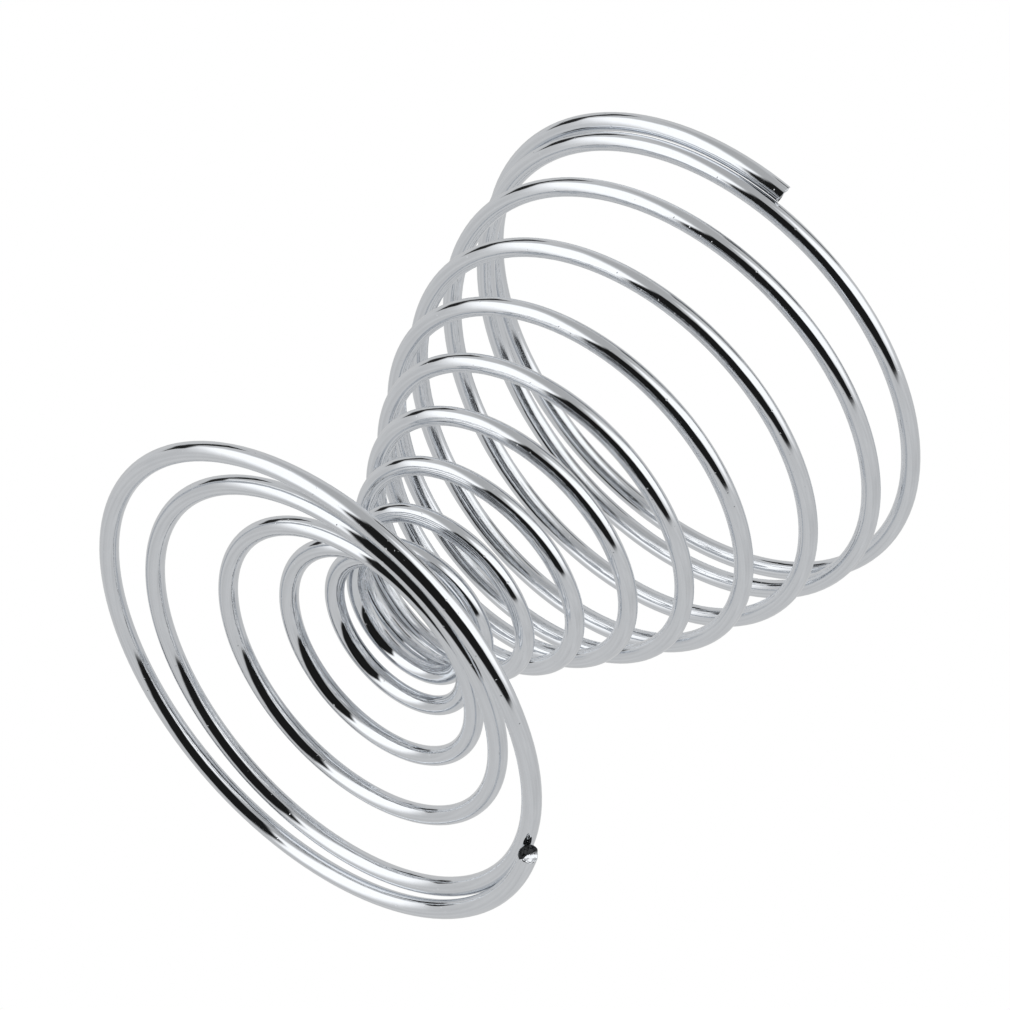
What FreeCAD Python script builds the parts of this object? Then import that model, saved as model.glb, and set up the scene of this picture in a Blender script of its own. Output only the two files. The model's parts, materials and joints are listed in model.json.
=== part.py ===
"""Spring-wire egg cup: one steel wire wound as a foot cone, a narrow waist and an open cup.

The wire flexes by twisting along its whole length. Here it is cut, square to its own
centreline, into stretches that can twist against each other at the cuts.
Millimetres. +Z is up, and the origin is the foot ring's centre on the table.
"""
import FreeCAD, Part
import math
import os

Vector = FreeCAD.Vector

WIRE_DIAMETER = 1.8
COIL_SHIFT = 1.1          # how far the waist and the cup stand off the foot ring's centre
SHIFT_TURNS = 4.0         # turns over which that offset builds up

# The coil's outline from foot to rim: place, turns of wire from the foot end,
# coil radius and height of the centreline above the foot end's centreline.
OUTLINE = [
    ("foot_end", 0.0, 25.0, 0.0),
    ("foot_lap", 1.0, 23.6, 1.15),
    ("base_outer", 2.0, 17.4, 3.7),
    ("base_middle", 3.0, 12.3, 6.35),
    ("base_inner", 4.0, 8.7, 9.6),
    ("waist", 5.0, 6.6, 11.8),
    ("neck", 6.0, 7.3, 14.0),
    ("cup_bottom", 7.0, 9.7, 17.0),
    ("cup_low", 9.0, 14.5, 26.1),
    ("cup_middle", 11.0, 20.0, 36.4),
    ("cup_high", 13.0, 23.9, 51.0),
    ("rim_lap", 13.77, 24.5, 55.4),
    ("rim_end", 14.77, 25.6, 56.85),
]

# Where the wire is cut. The two end rings are whole, because each laps itself.
FOOT_CUT = 1.25
WAIST_FROM = 4.0
WAIST_TO = 7.0
RIM_CUT = 13.5
STEP = 0.25

VOLUME_TOLERANCE = 0.01   # a stretch may miss section times length by this share


def new_sheet(doc):
    """The driving dimensions, as plain numbers with aliases."""
    sheet = doc.addObject("Spreadsheet::Sheet", "dims")
    rows = [("wire_diameter", WIRE_DIAMETER), ("coil_shift", COIL_SHIFT), ("shift_turns", SHIFT_TURNS)]
    for place, turn, radius, height in OUTLINE:
        rows += [("turn_" + place, turn), ("radius_" + place, radius), ("height_" + place, height)]
    for row, (alias, value) in enumerate(rows, start=1):
        sheet.set(f"A{row}", alias)
        sheet.set(f"B{row}", str(value))
        sheet.setAlias(f"B{row}", alias)
    return sheet


def cubic(knots, values, turn):
    """A smooth curve through the values, its slope at each knot that of the chord across it."""
    last = len(knots) - 1

    def slope(k):
        low, high = max(k - 1, 0), min(k + 1, last)
        return (values[high] - values[low]) / (knots[high] - knots[low])

    k = 0
    while k < last - 1 and turn > knots[k + 1]:
        k += 1
    span = knots[k + 1] - knots[k]
    s = (turn - knots[k]) / span
    rise = values[k] * (1 + 2 * s) * (1 - s) ** 2 + values[k + 1] * s * s * (3 - 2 * s)
    return rise + span * s * (1 - s) * (slope(k) * (1 - s) - slope(k + 1) * s)


class Coil:
    """The wire's centreline, worked out from the sheet."""

    def __init__(self, sheet):
        read = lambda kind: [float(getattr(sheet, f"{kind}_{row[0]}")) for row in OUTLINE]
        self.turns, self.radii, self.heights = read("turn"), read("radius"), read("height")
        self.wire_radius = float(sheet.wire_diameter) / 2
        self.shift, self.shift_turns = float(sheet.coil_shift), float(sheet.shift_turns)

    def point(self, turn):
        radius = cubic(self.turns, self.radii, turn)
        height = cubic(self.turns, self.heights, turn)
        s = min(turn / self.shift_turns, 1.0)
        angle = 2 * math.pi * turn
        return Vector(
            self.shift * s * s * (3 - 2 * s) + radius * math.cos(angle),
            radius * math.sin(angle),
            self.wire_radius + height,
        )

    def direction(self, turn):
        """The way the wire runs at a turn, from foot to rim."""
        step = 1e-4
        low, high = max(turn - step, self.turns[0]), min(turn + step, self.turns[-1])
        return (self.point(high) - self.point(low)).normalize()


def arc(start, corner, end):
    """The circular arc from start to end whose tangents meet at corner."""
    chord = (end - start).Length
    weight = chord / 2 / (corner - start).Length
    middle = (start + corner * (2 * weight) + end) / (2 * (1 + weight))
    return Part.Arc(start, middle, end)


def two_arcs(coil, low, high):
    """Two arcs, tangent to each other and to the wire at both ends."""
    start, end = coil.point(low), coil.point(high)
    out, into = coil.direction(low), coil.direction(high)
    gap, both = end - start, out + into
    bend = 2 * (1 - out.dot(into))
    along = gap.dot(both)
    reach = (math.sqrt(along * along + bend * gap.dot(gap)) - along) / bend
    first, second = start + out * reach, end - into * reach
    middle = (first + second) / 2
    return [arc(start, first, middle), arc(middle, second, end)]


def spine_of(coil, low, high):
    """The centreline from one turn to another, as arcs over at most a quarter turn."""
    count = math.ceil((high - low) / STEP - 1e-9)
    marks = [low + (high - low) * k / count for k in range(count + 1)]
    arcs = [piece for a, b in zip(marks, marks[1:]) for piece in two_arcs(coil, a, b)]
    return Part.Wire([piece.toShape() for piece in arcs])


def add_stretch(doc, coil, name, low, high):
    """One stretch of wire: a round section swept along its own centreline."""
    spine = doc.addObject("Part::Feature", name + "_spine")
    spine.Shape = spine_of(coil, low, high)
    section = doc.addObject("Part::Circle", name + "_section")
    turned = FreeCAD.Rotation(Vector(0, 0, 1), coil.direction(low))
    section.Placement = FreeCAD.Placement(coil.point(low), turned)
    section.setExpression("Radius", "dims.wire_diameter / 2")
    sweep = doc.addObject("Part::Sweep", name)
    sweep.Sections = [section]
    edges = [f"Edge{k + 1}" for k in range(len(spine.Shape.Edges))]
    sweep.Spine = (spine, edges)
    sweep.Solid = True
    sweep.Frenet = False
    sweep.Label = name
    return sweep


def stretches():
    """(name, from turn, to turn) of every stretch, from foot to rim."""
    base = [(f"base_coil_{k + 1:02d}", FOOT_CUT + k * STEP)
            for k in range(round((WAIST_FROM - FOOT_CUT) / STEP))]
    cup = [(f"cup_coil_{k + 1:02d}", WAIST_TO + k * STEP)
           for k in range(round((RIM_CUT - WAIST_TO) / STEP))]
    quarters = [(name, low, low + STEP) for name, low in base + cup]
    ends = [("foot_ring", 0.0, FOOT_CUT), ("waist_coil", WAIST_FROM, WAIST_TO),
            ("rim_ring", RIM_CUT, OUTLINE[-1][1])]
    return sorted(quarters + ends, key=lambda row: row[1])


def check(doc, coil, parts):
    """Stop on any object that failed, and on a stretch that isn't the wire it should be."""
    for item in doc.Objects:
        if "Invalid" in item.State or "Error" in item.State:
            raise RuntimeError(f"{item.Name} failed: {item.State}")
    section = math.pi * coil.wire_radius ** 2
    for part in parts:
        shape = part.Shape
        if shape.isNull() or not shape.isValid() or len(shape.Solids) != 1:
            raise RuntimeError(f"{part.Label} isn't one valid solid")
        wanted = section * part.Spine[0].Shape.Length
        if abs(shape.Volume / wanted - 1) > VOLUME_TOLERANCE:
            raise RuntimeError(f"{part.Label}: {shape.Volume:.3f} mm3, not {wanted:.3f}")


def main():
    doc = FreeCAD.newDocument("spring_egg_cup")
    sheet = new_sheet(doc)
    doc.recompute()
    coil = Coil(sheet)
    parts = [add_stretch(doc, coil, *row) for row in stretches()]
    doc.recompute()
    check(doc, coil, parts)
    os.makedirs("parts", exist_ok=True)
    for part in parts:
        part.Shape.exportStep(f"parts/{part.Label}.step")
    length = sum(part.Spine[0].Shape.Length for part in parts)
    print(f"{len(parts)} stretches, {length:.0f} mm of wire")


main()
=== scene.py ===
"""Spring egg cup: the plated wire, its two cut ends and the studio around it.

The cup is one length of round spring wire. Each stretch between two twist joints is a piece
of its own, swept along the coil's centreline by one Geometry Nodes tree. Metres, in the
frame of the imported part: +Z up, the foot ring's centre on the table at the origin.
"""
import json
import math

import bpy
from mathutils import Matrix, Vector


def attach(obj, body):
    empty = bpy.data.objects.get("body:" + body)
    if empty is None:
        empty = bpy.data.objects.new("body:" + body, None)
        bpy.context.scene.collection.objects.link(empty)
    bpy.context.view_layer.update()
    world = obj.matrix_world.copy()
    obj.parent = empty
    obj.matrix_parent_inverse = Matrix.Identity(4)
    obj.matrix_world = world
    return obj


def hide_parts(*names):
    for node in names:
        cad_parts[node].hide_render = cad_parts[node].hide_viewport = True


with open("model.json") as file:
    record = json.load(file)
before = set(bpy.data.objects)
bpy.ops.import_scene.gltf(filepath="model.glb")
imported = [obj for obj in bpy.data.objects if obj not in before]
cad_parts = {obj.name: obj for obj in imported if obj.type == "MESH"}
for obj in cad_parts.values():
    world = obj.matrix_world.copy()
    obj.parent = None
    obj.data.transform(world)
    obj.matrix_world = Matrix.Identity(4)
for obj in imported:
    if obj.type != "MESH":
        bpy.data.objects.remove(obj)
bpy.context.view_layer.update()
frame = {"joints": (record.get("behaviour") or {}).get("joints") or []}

MM = 0.001
WIRE_RADIUS = 0.9 * MM
COIL_SHIFT = 1.1 * MM     # how far the waist and the cup stand off the foot ring's centre
SHIFT_TURNS = 4.0         # turns over which that offset builds up

# The coil's outline from foot to rim: turns of wire from the foot end, then the coil radius
# and the height of the centreline above the foot end's centreline, in millimetres.
OUTLINE = [
    (0.0, 25.0, 0.0),
    (1.0, 23.6, 1.15),
    (2.0, 17.4, 3.7),
    (3.0, 12.3, 6.35),
    (4.0, 8.7, 9.6),
    (5.0, 6.6, 11.8),
    (6.0, 7.3, 14.0),
    (7.0, 9.7, 17.0),
    (9.0, 14.5, 26.1),
    (11.0, 20.0, 36.4),
    (13.0, 23.9, 51.0),
    (13.77, 24.5, 55.4),
    (14.77, 25.6, 56.85),
]
TURNS, RADII, HEIGHTS = (list(column) for column in zip(*OUTLINE))
FOOT_END, RIM_END = TURNS[0], TURNS[-1]
FOOT_CUT, WAIST_FROM, WAIST_TO, RIM_CUT = 1.25, 4.0, 7.0, 13.5
STEP = 0.25               # turns between two twist joints

RINGS_PER_STEP = 32       # rings of the mesh in a quarter turn
SIDES = 32                # corners of a ring
SLOT = "plated_wire"

# The rings of a cut end, from the middle of its face to the wire's side. Those of the flat
# are shares of the wire's radius, and those of the rounded edge also have a depth behind
# the flat in millimetres.
CUT_FLAT = [0.02] + [0.07 * k for k in range(1, 14)]
CUT_EDGE = [(0.95, 0.01), (0.978, 0.03), (0.994, 0.06), (1.0, 0.1)]
END_ZONE = 1.8            # mm of wire over which the slope of a cut face fades out
END_RINGS = 10            # rings of the mesh in that zone
END_CLEAR = 1.05          # zones between a wire end and the first of the plain rings

# How the cutters left each end: the depth of the shear, how far its two facets slope, one
# upward and one sideways, and the seed of the torn grain.
FOOT_SHEAR = {"Shear Depth": 0.7 * MM, "Slope Up": 0.6, "Slope Side": 0.35, "Seed": 4}
RIM_SHEAR = {"Shear Depth": 0.55 * MM, "Slope Up": -0.3, "Slope Side": -0.3, "Seed": 9}
FACET_ACROSS, FACET_UP = 0.92, 0.38   # which way the line between the facets lies
FACET_BLEND = 0.12        # width of that line, as a share of the wire's radius
GRAIN_ON_LINE, GRAIN_ON_DEPTH = 1.6, 0.8
JOINT_TOLERANCE = 0.02 * MM


# ---------------------------------------------------------------- the wire's centreline

def cubic(values, turn):
    """A smooth curve through the outline, its slope at each knot that of the chord across it."""
    last = len(TURNS) - 1

    def slope(k):
        low, high = max(k - 1, 0), min(k + 1, last)
        return (values[high] - values[low]) / (TURNS[high] - TURNS[low])

    k = 0
    while k < last - 1 and turn > TURNS[k + 1]:
        k += 1
    span = TURNS[k + 1] - TURNS[k]
    s = (turn - TURNS[k]) / span
    rise = values[k] * (1 + 2 * s) * (1 - s) ** 2 + values[k + 1] * s * s * (3 - 2 * s)
    return rise + span * s * (1 - s) * (slope(k) * (1 - s) - slope(k + 1) * s)


def wire_point(turn):
    radius, height = cubic(RADII, turn) * MM, cubic(HEIGHTS, turn) * MM
    s = min(turn / SHIFT_TURNS, 1.0)
    angle = 2 * math.pi * turn
    return Vector((COIL_SHIFT * s * s * (3 - 2 * s) + radius * math.cos(angle),
                   radius * math.sin(angle), WIRE_RADIUS + height))


def wire_direction(turn):
    """The way the wire runs at a turn, from foot to rim."""
    low, high = max(turn - 1e-4, FOOT_END), min(turn + 1e-4, RIM_END)
    return (wire_point(high) - wire_point(low)).normalized()


def wire_frame(turn):
    """The wire's place, its outward side, and the side square to both that and the wire."""
    centre, along = wire_point(turn), wire_direction(turn)
    angle = 2 * math.pi * turn
    outward = Vector((math.cos(angle), math.sin(angle), 0))
    side = (outward - along * outward.dot(along)).normalized()
    return centre, side, along.cross(side)


def wire_lengths(count=8000):
    """Length of wire from the foot end to evenly spaced turns."""
    points = [wire_point(FOOT_END + (RIM_END - FOOT_END) * k / count) for k in range(count + 1)]
    lengths = [0.0]
    for a, b in zip(points, points[1:]):
        lengths.append(lengths[-1] + (b - a).length)
    return lengths


LENGTHS = wire_lengths()


def wire_length(turn):
    place = (turn - FOOT_END) / (RIM_END - FOOT_END) * (len(LENGTHS) - 1)
    k = min(int(place), len(LENGTHS) - 2)
    return LENGTHS[k] + (LENGTHS[k + 1] - LENGTHS[k]) * (place - k)


def stretches():
    """(CAD node, from turn, to turn) of every stretch, from foot to rim."""
    rows = [("foot_ring", FOOT_END, FOOT_CUT), ("waist_coil", WAIST_FROM, WAIST_TO),
            ("rim_ring", RIM_CUT, RIM_END)]
    for stem, low, high in (("base_coil", FOOT_CUT, WAIST_FROM), ("cup_coil", WAIST_TO, RIM_CUT)):
        for k in range(round((high - low) / STEP)):
            rows.append((f"{stem}_{k + 1:02d}", low + k * STEP, low + (k + 1) * STEP))
    return sorted(rows, key=lambda row: row[1])


def check_joints():
    """Stop if the centreline here isn't the one that the part's joints lie on."""
    starts = {node: low for node, low, high in stretches()}
    for joint in frame["joints"]:
        miss = (wire_point(starts[joint["child"]]) - Vector(joint["pos_m"])).length
        if miss > JOINT_TOLERANCE:
            raise RuntimeError(f"{joint['name']} is {miss / MM:.3f} mm off the wire's line")


# ---------------------------------------------------------------- nodes as expressions

class Signal:
    """A socket's value in a node tree. Arithmetic on it adds Math nodes to the tree."""

    def __init__(self, tree, socket=None):
        self.tree, self.socket = tree, socket

    def node(self, kind, settings=None, inputs=None, output=0):
        """Adds one node: its settings first, then the values or links of its sockets."""
        made = self.tree.nodes.new(kind)
        for name, value in (settings or {}).items():
            setattr(made, name, value)
        for key, value in (inputs or {}).items():
            if isinstance(value, Signal):
                self.tree.links.new(value.socket, made.inputs[key])
            else:
                made.inputs[key].default_value = value
        return Signal(self.tree, made.outputs[output] if len(made.outputs) else None)

    def other(self, output):
        """Another output of the node that this value comes from."""
        return Signal(self.tree, self.socket.node.outputs[output])

    def math(self, operation, *others):
        """A Math node on this value and the others, in that order."""
        return self.node("ShaderNodeMath", {"operation": operation},
                         dict(enumerate((self, *others))))

    def vector(self, operation, *others, output=0):
        """A Vector Math node on this vector and the others, in that order."""
        return self.node("ShaderNodeVectorMath", {"operation": operation},
                         dict(enumerate((self, *others))), output)

    def dot(self, other):
        return self.vector("DOT_PRODUCT", other, output="Value")

    def smooth(self, low, high):
        """0 below low, 1 above high, and a smooth step between them."""
        return self.node("ShaderNodeMapRange", {"interpolation_type": "SMOOTHSTEP"},
                         {"Value": self, "From Min": low, "From Max": high})

    def toward(self, other, share):
        return self + (other - self) * share

    def __add__(self, other):
        return self.math("ADD", other)

    __radd__ = __add__

    def __sub__(self, other):
        return self.math("SUBTRACT", other)

    def __rsub__(self, other):
        return self.node("ShaderNodeMath", {"operation": "SUBTRACT"}, {0: other, 1: self})

    def __mul__(self, other):
        return self.math("MULTIPLY", other)

    __rmul__ = __mul__

    def __truediv__(self, other):
        return self.math("DIVIDE", other)

    def __neg__(self):
        return self * -1.0


# ---------------------------------------------------------------- bright plating

PLATING_DULL = (0.76, 0.785, 0.82, 1)
PLATING_BRIGHT = (0.81, 0.83, 0.855, 1)
TORN_STEEL = (0.045, 0.047, 0.05, 1)
POLISHED = 0.035          # roughness of the plating where nothing dulls it
DRAWN_HAZE, MOTTLE_HAZE, PINHOLE_HAZE, TORN_HAZE = 0.03, 0.05, 0.2, 0.25
DRAWN_HEIGHT, RIPPLE_HEIGHT, PINHOLE_DEPTH = 0.35, 4.0, 3.0
BUMP_STRENGTH, BUMP_DISTANCE = 0.16, 0.05 * MM


def plated_wire():
    """Bright nickel-chrome plating over drawn steel wire.

    The pattern runs along the wire: it reads wire_place, the wire unrolled straight, in
    millimetres. Drawing leaves faint lines along the wire, and the plating lies over them
    in shallow ripples with a few pinholes.
    """
    material = bpy.data.materials.new(SLOT)
    material.use_nodes = True
    tree = material.node_tree
    tree.nodes.clear()
    start = Signal(tree)
    place = start.node("ShaderNodeAttribute",
                       {"attribute_type": "GEOMETRY", "attribute_name": "wire_place"},
                       output="Vector")
    torn = start.node("ShaderNodeAttribute",
                      {"attribute_type": "GEOMETRY", "attribute_name": "torn_steel"}, output="Fac")

    def stretched(scale, detail, size):
        squeezed = place.vector("MULTIPLY", size)
        return start.node("ShaderNodeTexNoise", {},
                          {"Vector": squeezed, "Scale": scale, "Detail": detail,
                           "Roughness": 0.55}, output="Fac")

    drawn = stretched(9.0, 3.0, (1.0, 1.0, 0.035))
    ripple = stretched(0.55, 2.0, (1.0, 1.0, 0.35))
    mottle = stretched(1.6, 4.0, (1.0, 1.0, 0.5))
    pits = start.node("ShaderNodeTexVoronoi", {"feature": "F1"},
                      {"Vector": place, "Scale": 1.15, "Randomness": 1.0}, output="Distance")
    pinhole = 1.0 - pits.smooth(0.04, 0.11)

    colour = start.node("ShaderNodeMix", {"data_type": "RGBA"},
                        {"Factor": mottle, 6: PLATING_DULL, 7: PLATING_BRIGHT}, output=2)
    colour = start.node("ShaderNodeMix", {"data_type": "RGBA"},
                        {"Factor": torn, 6: colour, 7: TORN_STEEL}, output=2)
    roughness = POLISHED + drawn * DRAWN_HAZE + mottle.smooth(0.45, 0.75) * MOTTLE_HAZE
    roughness = roughness + pinhole * PINHOLE_HAZE + torn * TORN_HAZE
    height = drawn * DRAWN_HEIGHT + ripple * RIPPLE_HEIGHT - pinhole * PINHOLE_DEPTH
    bump = start.node("ShaderNodeBump", {},
                      {"Strength": BUMP_STRENGTH, "Distance": BUMP_DISTANCE, "Height": height},
                      output="Normal")
    metal = start.node("ShaderNodeBsdfPrincipled", {},
                       {"Base Color": colour, "Metallic": 1.0, "Roughness": roughness,
                        "Normal": bump}, output="BSDF")
    start.node("ShaderNodeOutputMaterial", {}, {"Surface": metal})
    return material


# ---------------------------------------------------------------- the wire's mesh

def wire_tree(material):
    """Geometry Nodes that sweep a round wire through a row of guide points.

    Each guide point holds the wire's side and up directions, its length along the wire, its
    thickness as a share of the full one, and on a cut face the way into the wire.
    """
    tree = bpy.data.node_groups.new("round_wire", "GeometryNodeTree")
    sockets = {}
    for name, kind in (("Guide", "NodeSocketGeometry"), ("Wire Radius", "NodeSocketFloat"),
                       ("Sides", "NodeSocketInt"), ("Shear Depth", "NodeSocketFloat"),
                       ("Slope Up", "NodeSocketFloat"), ("Slope Side", "NodeSocketFloat"),
                       ("Seed", "NodeSocketInt")):
        socket = tree.interface.new_socket(name=name, in_out="INPUT", socket_type=kind)
        sockets[name] = socket.identifier
    tree.interface.new_socket(name="Wire", in_out="OUTPUT", socket_type="NodeSocketGeometry")
    start = Signal(tree)
    guide = start.node("NodeGroupInput")
    radius, sides = guide.other("Wire Radius"), guide.other("Sides")
    shear, seed = guide.other("Shear Depth"), guide.other("Seed")
    slope_up, slope_side = guide.other("Slope Up"), guide.other("Slope Side")

    count = start.node("GeometryNodeAttributeDomainSize", {"component": "MESH"}, {0: guide})
    last = count - 1.0
    tube = start.node("GeometryNodeMeshCylinder", {"fill_type": "NGON"},
                      {"Vertices": sides, "Side Segments": last, "Radius": 1.0, "Depth": last})
    xyz = start.node("ShaderNodeSeparateXYZ", {}, {0: start.node("GeometryNodeInputPosition")})
    x, y, z = xyz, xyz.other("Y"), xyz.other("Z")
    ring = (z + last * 0.5).math("ROUND")

    def at_ring(value, kind):
        return start.node("GeometryNodeSampleIndex", {"data_type": kind, "domain": "POINT"},
                          {"Geometry": guide, "Value": value, "Index": ring})

    def guide_value(name, kind):
        named = start.node("GeometryNodeInputNamedAttribute", {"data_type": kind}, {"Name": name})
        return at_ring(named, kind)

    centre = at_ring(start.node("GeometryNodeInputPosition"), "FLOAT_VECTOR")
    side, up = guide_value("side", "FLOAT_VECTOR"), guide_value("up", "FLOAT_VECTOR")
    inward = guide_value("inward", "FLOAT_VECTOR")
    thickness, along = guide_value("thickness", "FLOAT"), guide_value("along", "FLOAT")

    def scaled(vector, factor):
        return start.node("ShaderNodeVectorMath", {"operation": "SCALE"},
                          {0: vector, "Scale": factor})

    outward = scaled(side, x).vector("ADD", scaled(up, y))
    across, upright = x * thickness, y * thickness
    grain = start.node("ShaderNodeTexNoise", {"noise_dimensions": "4D"},
                       {"Vector": start.node("ShaderNodeCombineXYZ", {}, {0: across, 1: upright}),
                        "W": seed, "Scale": 1.5, "Detail": 1.5, "Roughness": 0.5})
    # Side cutters leave two sloping facets: one torn and dull, one pressed smooth.
    ragged = grain - 0.5
    line = across * FACET_ACROSS + upright * FACET_UP + ragged * GRAIN_ON_LINE
    facet = line.smooth(0.0, FACET_BLEND)
    slope = (0.5 + upright * slope_up).toward(0.45 + across * slope_side, facet)
    depth = (slope + ragged * GRAIN_ON_DEPTH).math("MAXIMUM", 0.0) * shear
    face = 1.0 - thickness.smooth(0.94, 0.99)
    spot = centre.vector("ADD", scaled(outward, thickness * radius))
    spot = spot.vector("ADD", scaled(inward, depth))
    place = start.node("ShaderNodeCombineXYZ", {}, {0: across * (radius / MM),
                                                    1: upright * (radius / MM), 2: along})

    def stored(geometry, name, kind, value):
        return start.node("GeometryNodeStoreNamedAttribute",
                          {"data_type": kind, "domain": "POINT"},
                          {"Geometry": geometry, "Name": name, "Value": value})

    body = stored(tube, "wire_place", "FLOAT_VECTOR", place)
    body = stored(body, "outward", "FLOAT_VECTOR", outward)
    body = stored(body, "cut_face", "FLOAT", face)
    body = stored(body, "torn_steel", "FLOAT", face * (1.0 - facet))
    body = start.node("GeometryNodeSetPosition", {}, {"Geometry": body, "Position": spot})
    body = start.node("GeometryNodeRealizeInstances", {}, {"Geometry": body})
    body = start.node("GeometryNodeSetMaterial", {}, {"Geometry": body, "Material": material})
    start.node("NodeGroupOutput", {}, {0: body})
    return tree, sockets


def guide_row(turn):
    """One guide point: centre, side, up, length along the wire, thickness, way in from an end."""
    centre, side, up = wire_frame(turn)
    along = wire_length(turn) / MM
    from_foot, from_rim = along, wire_length(RIM_END) / MM - along
    near = min(from_foot, from_rim)
    into = side.cross(up) * (1 if near == from_foot else -1)
    return centre, side, up, along, 1.0, into * max(0.0, 1 - near / END_ZONE)


def guide_rows(low, high):
    """Guide points of one stretch, with the face of a cut end where the wire ends."""
    steps = round((high - low) / STEP * RINGS_PER_STEP)
    turns = [low + (high - low) * k / steps for k in range(steps + 1)]
    zone = END_ZONE * MM / (2 * math.pi * RADII[0] * MM)
    close = [zone * k / END_RINGS for k in range(1, END_RINGS + 1)]
    if low == FOOT_END:
        turns = [low + gap for gap in close] + [t for t in turns if t > low + zone * END_CLEAR]
        return cut_end(guide_row(low), 1.0) + [guide_row(turn) for turn in turns]
    if high == RIM_END:
        turns = [t for t in turns if t < high - zone * END_CLEAR]
        turns += [high - gap for gap in close[::-1]]
        return [guide_row(turn) for turn in turns] + cut_end(guide_row(high), -1.0)[::-1]
    return [guide_row(turn) for turn in turns]


def cut_end(row, sign):
    """The rings of a cut end, from the middle of its face to the wire's side."""
    centre, side, up, along, _, _ = row
    into = side.cross(up) * sign
    rings = [(share, 0.0) for share in CUT_FLAT] + CUT_EDGE
    return [(centre + into * (depth * MM), side, up, along + sign * depth, share, into)
            for share, depth in rings]


def guide_mesh(name, rows):
    mesh = bpy.data.meshes.new(name)
    mesh.from_pydata([row[0] for row in rows], [(k, k + 1) for k in range(len(rows) - 1)], [])
    for attribute, column in (("side", 1), ("up", 2), ("inward", 5)):
        data = mesh.attributes.new(attribute, "FLOAT_VECTOR", "POINT").data
        data.foreach_set("vector", [value for row in rows for value in row[column]])
    for attribute, column in (("along", 3), ("thickness", 4)):
        data = mesh.attributes.new(attribute, "FLOAT", "POINT").data
        data.foreach_set("value", [row[column] for row in rows])
    return mesh


def shade_round(mesh):
    """Normals of a true round wire on its side, so that a cut between stretches can't be seen."""
    outward = [Vector(item.vector) for item in mesh.attributes["outward"].data]
    cut_face = [item.value for item in mesh.attributes["cut_face"].data]
    corner_vertex = [loop.vertex_index for loop in mesh.loops]
    normals = [None] * len(mesh.loops)
    for face in mesh.polygons:
        face.use_smooth = True
        flat = face.normal.copy()
        middle = sum((outward[v] for v in face.vertices), Vector()) / len(face.vertices)
        on_side = middle.length > 0.5 and flat.dot(middle.normalized()) > 0.97
        for corner in face.loop_indices:
            vertex = corner_vertex[corner]
            if on_side:
                normals[corner] = outward[vertex]
            elif cut_face[vertex] < 0.5:
                normals[corner] = mesh.vertices[vertex].normal.copy()
            else:
                normals[corner] = flat
    mesh.normals_split_custom_set(normals)
    mesh.attributes.remove(mesh.attributes["outward"])


def build_wire(material):
    tree, sockets = wire_tree(material)
    for node, low, high in stretches():
        rows = guide_mesh(node + "_guide", guide_rows(low, high))
        guide = bpy.data.objects.new(node + "_guide", rows)
        bpy.context.scene.collection.objects.link(guide)
        sweep = guide.modifiers.new("round_wire", "NODES")
        sweep.node_group = tree
        sizes = {"Wire Radius": WIRE_RADIUS, "Sides": SIDES}
        sizes.update(FOOT_SHEAR if low == FOOT_END else RIM_SHEAR)
        for name, value in sizes.items():
            sweep[sockets[name]] = value
        bpy.context.view_layer.update()
        evaluated = guide.evaluated_get(bpy.context.evaluated_depsgraph_get())
        mesh = bpy.data.meshes.new_from_object(evaluated)
        mesh.name = node + "_wire"
        guide.modifiers.remove(sweep)
        bpy.data.objects.remove(guide)
        shade_round(mesh)
        piece = bpy.data.objects.new(node + "_wire", mesh)
        bpy.context.scene.collection.objects.link(piece)
        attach(piece, node)
        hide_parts(node)


# ---------------------------------------------------------------- studio and camera

# The camera, and the studio set up round it: the way to its right, the way down, and the
# way that it looks.
RIGHT = Vector((0.7676, -0.1637, 0.6197))
DOWN = Vector((0.5741, 0.6056, -0.5511))
AHEAD = Vector((-0.2851, 0.7788, 0.5588))
CAMERA_PLACE = Vector((0.12533, -0.34414, -0.21765))
LENS_MM = 170.54

# What the bright wire mirrors, by direction: degrees to the right of the camera and below
# it, seen from the cup. Corners go clockwise as seen, and each side has the softness that
# follows its first corner.
OPENING = [(-14, -27, 4), (52, 17, 4), (60, 27, 4), (43, 39, 4), (20, 50, 3), (-71, 55, 3),
           (-50, 7, 3)]
LEFT_PANEL = [(-90, -60, 7), (-36, -60, 9), (-24, 0, 9), (-60, 45, 18), (-80, 45, 14),
              (-96, -10, 12)]
RIGHT_PANEL = [(16, -48, 6), (92, -48, 12), (100, -15, 12), (88, 10, 12), (30, 10, 8),
               (10, -20, 8)]
BACK_STRIP = [(-30, -100, 14), (34, -100, 10), (30, -20, 12), (-20, -20, 8)]
DARK_BARS = [
    [(-112, -42, 2), (-97, -82, 2), (-84, -74, 2), (-99, -36, 2)],
    [(-97, -82, 2), (-46, -114, 2), (-38, -101, 2), (-84, -73, 2)],
    [(50, -95, 2), (94, -72, 2), (85, -59, 2), (42, -84, 2)],
]

# How bright each is, in the order in which they cover one another.
PANELS = [(0.47, BACK_STRIP), (1.25, LEFT_PANEL), (1.22, RIGHT_PANEL), (0.012, OPENING)]
PANELS += [(0.02, bar) for bar in DARK_BARS]
WALL_LIGHT, WALL_UNEVEN = 0.49, 0.24
BACKDROP_LIGHT = 1.0      # what the camera sees behind the cup

FLOOR_HALF = 1.5          # metres from the cup to the floor's edge
FLOOR_COLOUR = (0.86, 0.86, 0.86, 1)
OVERHEAD_STRENGTH, OVERHEAD_SPREAD = 1.35, math.radians(50)
OVERHEAD_TILT = (math.radians(12), math.radians(8), 0)


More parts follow.
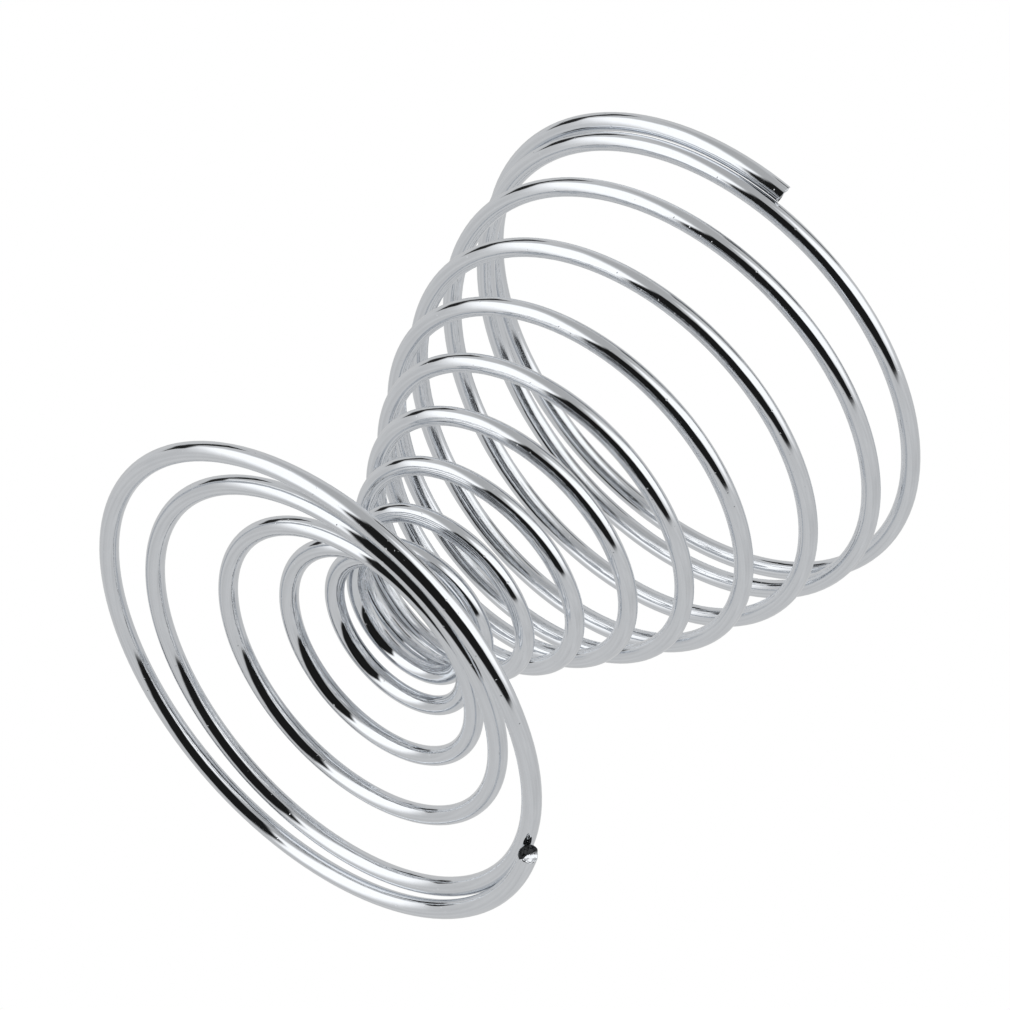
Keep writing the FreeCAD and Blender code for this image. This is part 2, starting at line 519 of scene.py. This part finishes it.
def panel(across, down, corners):
    """How far a direction lies inside a flat panel: 1 inside its corners, 0 outside."""
    inside = None
    for (x0, y0, soft), (x1, y1, _) in zip(corners, corners[1:] + corners[:1]):
        span = math.hypot(x1 - x0, y1 - y0)
        nx, ny = -(y1 - y0) / span, (x1 - x0) / span
        depth = (across * nx + down * ny - (x0 * nx + y0 * ny)).smooth(-soft, soft)
        inside = depth if inside is None else inside * depth
    return inside


def build_world():
    world = bpy.data.worlds.new("studio")
    bpy.context.scene.world = world
    world.use_nodes = True
    tree = world.node_tree
    tree.nodes.clear()
    start = Signal(tree)
    way = start.node("ShaderNodeTexCoord", output="Generated")
    right, down, ahead = way.dot(tuple(RIGHT)), way.dot(tuple(DOWN)), way.dot(tuple(AHEAD))
    turn = (-ahead).math("MINIMUM", 1.0).math("ARCCOSINE") * math.degrees(1)
    flat = (right * right + down * down).math("SQRT").math("MAXIMUM", 1e-4)
    across, below = right / flat * turn, down / flat * turn
    uneven = start.node("ShaderNodeTexNoise", {},
                        {"Vector": way, "Scale": 3.2, "Detail": 2.0, "Roughness": 0.5}, output="Fac")
    light = WALL_LIGHT + uneven * WALL_UNEVEN
    for level, corners in PANELS:
        light = light.toward(level, panel(across, below, corners))
    light = light.toward(BACKDROP_LIGHT, start.node("ShaderNodeLightPath", output="Is Camera Ray"))
    back = start.node("ShaderNodeBackground", {}, {"Color": (1, 1, 1, 1), "Strength": light})
    start.node("ShaderNodeOutputWorld", {}, {"Surface": back})


def build_floor():
    """A pale floor, open when looked at from below."""
    corners = [(x * FLOOR_HALF, y * FLOOR_HALF, 0)
               for x, y in ((-1, -1), (1, -1), (1, 1), (-1, 1))]
    mesh = bpy.data.meshes.new("floor")
    mesh.from_pydata(corners, [], [(0, 1, 2, 3)])
    material = bpy.data.materials.new("pale_floor")
    material.use_nodes = True
    tree = material.node_tree
    tree.nodes.clear()
    start = Signal(tree)
    pale = start.node("ShaderNodeBsdfDiffuse", {}, {"Color": FLOOR_COLOUR})
    clear = start.node("ShaderNodeBsdfTransparent")
    below = start.node("ShaderNodeNewGeometry", output="Backfacing")
    mixed = start.node("ShaderNodeMixShader", {}, {0: below, 1: pale, 2: clear})
    start.node("ShaderNodeOutputMaterial", {}, {"Surface": mixed})
    mesh.materials.append(material)
    floor = bpy.data.objects.new("floor", mesh)
    floor.visible_glossy = False
    floor.visible_shadow = False
    bpy.context.scene.collection.objects.link(floor)


def build_overhead():
    """Even, very soft light from above, for the floor and the cup's shadow on it."""
    light = bpy.data.lights.new("overhead", "SUN")
    light.energy, light.angle = OVERHEAD_STRENGTH, OVERHEAD_SPREAD
    lamp = bpy.data.objects.new("overhead", light)
    lamp.rotation_euler = OVERHEAD_TILT
    lamp.visible_glossy = False
    bpy.context.scene.collection.objects.link(lamp)


def build_camera():
    data = bpy.data.cameras.new("camera")
    data.sensor_width, data.lens = 36.0, LENS_MM
    data.clip_start, data.clip_end = 0.01, 20.0
    camera = bpy.data.objects.new("camera", data)
    turned = Matrix((RIGHT, -DOWN, -AHEAD)).transposed()
    camera.matrix_world = Matrix.Translation(CAMERA_PLACE) @ turned.to_4x4()
    bpy.context.scene.collection.objects.link(camera)
    bpy.context.scene.camera = camera


check_joints()
build_wire(plated_wire())
build_world()
build_floor()
build_overhead()
build_camera()
bpy.context.scene.view_settings.view_transform = "Standard"
